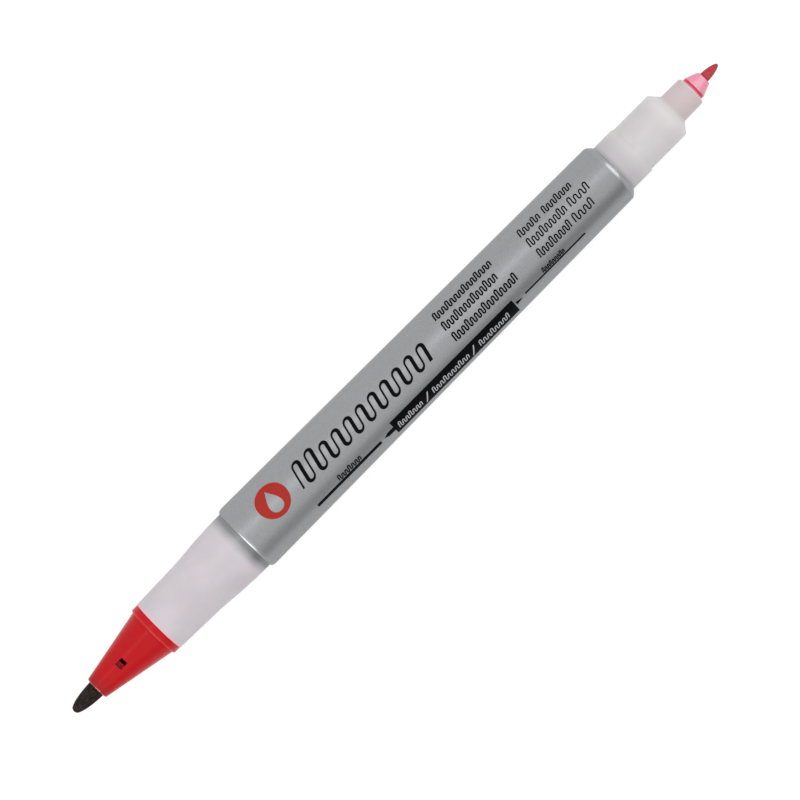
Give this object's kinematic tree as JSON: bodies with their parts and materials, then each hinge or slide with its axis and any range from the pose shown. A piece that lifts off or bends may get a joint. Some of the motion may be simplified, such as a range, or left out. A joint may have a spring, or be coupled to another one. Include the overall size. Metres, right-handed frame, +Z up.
{
  "type": "twin-tip marker",
  "caption": "Slim twin-tip marker with its caps off: tapered silver barrel, bullet nib in a red cone at one end, fine nib in a pink cone on a stepped milky nose at the other.",
  "frame": {"origin": "under the middle of the pen's length, on the plane that the barrel's widest ring rests on", "axes": "+X along the pen from the bold tip to the fine tip, +Z up with the vent recess and the printed side on top"},
  "size_m": [0.134, 0.0114, 0.0114],
  "materials": {
    "silver_coat": "satin silver coating on moulded plastic, bare milky plastic at the neck",
    "milky_plastic": "uncoloured, slightly translucent moulded plastic",
    "red_plastic": "moulded, glossy",
    "pink_plastic": "moulded, translucent pink",
    "dark_fibre": "pressed fibre soaked with ink, near black",
    "red_fibre": "pressed fibre soaked with red ink",
    "inky_fibre": "bonded fibre rod soaked with red ink",
    "clear_film": "clear film",
    "black_print": "screen-printed black ink on the silver coating",
    "red_print": "screen-printed red ink on the silver coating"
  },
  "bodies": {
    "root": {"bold_nib": "dark_fibre", "bold_nib_holder": "red_plastic", "barrel": "silver_coat", "fine_section": "milky_plastic", "fine_nib_holder": "pink_plastic", "fine_nib": "red_fibre", "ink_reservoir": "inky_fibre", "reservoir_wrap": "clear_film"}
  },
  "joints": []
}
